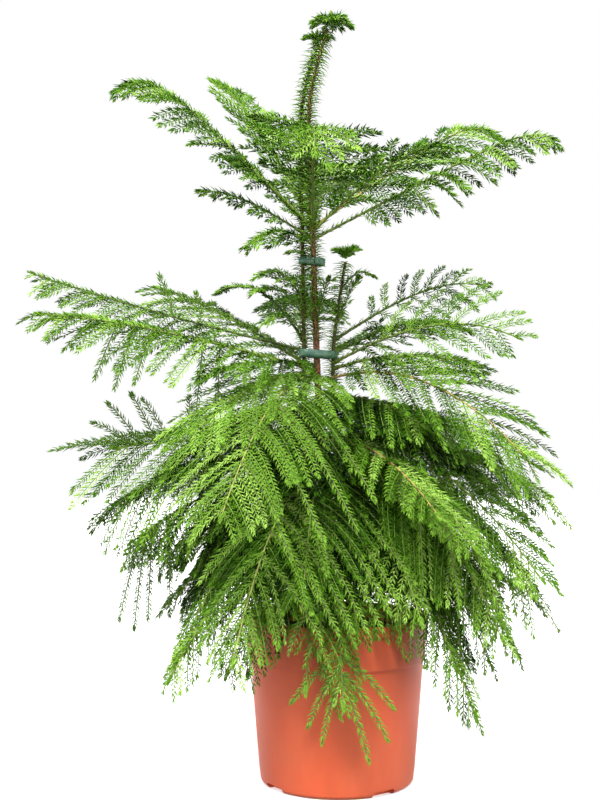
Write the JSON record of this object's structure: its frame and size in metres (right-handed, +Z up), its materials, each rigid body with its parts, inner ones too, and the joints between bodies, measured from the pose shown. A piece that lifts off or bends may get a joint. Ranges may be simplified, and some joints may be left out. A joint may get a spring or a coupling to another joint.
{
  "type": "potted norfolk island pine",
  "caption": "Potted Norfolk Island pine: a clump of slender stems with tiers of feathery weeping fronds, in a round tapered plastic nursery pot.",
  "frame": {"origin": "middle of the pot's flat underside", "axes": "+Z up along the pot's axis; the plant's best side looks along -Y, with +X to its right as seen from the front"},
  "size_m": [0.6951, 0.5784, 1.0122],
  "materials": {
    "pot_plastic": "terracotta-coloured moulded plastic, satin",
    "soil": "dark moist potting mix",
    "bark": "rough reddish brown bark with old leaf bases",
    "green_bark": "tan to yellow-green bark of young boughs",
    "needles": "soft green needles, satin",
    "tie_plastic": "blue-green plastic tie, slightly glossy"
  },
  "bodies": {
    "root": {"pot": "pot_plastic", "soil": "soil", "trunk": "bark", "left_stem": "bark", "right_stem": "bark", "upper_tie": "tie_plastic", "lower_tie": "tie_plastic", "leader_tuft": "needles", "low_back_foliage": "needles", "low_back_left_foliage": "needles", "low_back_right_foliage": "needles", "low_centre_right_foliage": "needles", "low_front_left_bough": "green_bark", "low_front_left_foliage": "needles", "low_front_right_bough": "green_bark", "low_front_right_foliage": "needles", "low_left_foliage": "needles", "low_right_back_foliage": "needles", "low_right_bough": "green_bark", "low_right_foliage": "needles", "middle_back_foliage": "needles", "middle_back_left_foliage": "needles", "middle_back_right_foliage": "needles", "middle_left_bough": "green_bark", "middle_left_foliage": "needles", "middle_left_low_bough": "green_bark", "middle_left_low_foliage": "needles", "middle_left_twig_bough": "green_bark", "middle_left_twig_foliage": "needles", "middle_right_bough": "green_bark", "middle_right_foliage": "needles", "middle_right_low_bough": "green_bark", "middle_right_low_foliage": "needles", "right_tuft": "needles", "skirt_back_foliage": "needles", "skirt_back_left_foliage": "needles", "skirt_back_right_foliage": "needles", "skirt_front_foliage": "needles", "skirt_front_left_foliage": "needles", "skirt_front_right_foliage": "needles", "skirt_left_back_foliage": "needles", "skirt_left_foliage": "needles", "skirt_left_front_foliage": "needles", "skirt_right_back_foliage": "needles", "skirt_right_foliage": "needles", "skirt_right_front_foliage": "needles", "top_back_bough": "green_bark", "top_back_foliage": "needles", "top_back_left_bough": "green_bark", "top_back_left_foliage": "needles", "top_front_bough": "green_bark", "top_front_foliage": "needles", "top_left_bough": "green_bark", "top_left_foliage": "needles", "top_left_low_bough": "green_bark", "top_left_low_foliage": "needles", "top_right_bough": "green_bark", "top_right_foliage": "needles", "top_right_low_bough": "green_bark", "top_right_low_foliage": "needles"}
  },
  "joints": []
}
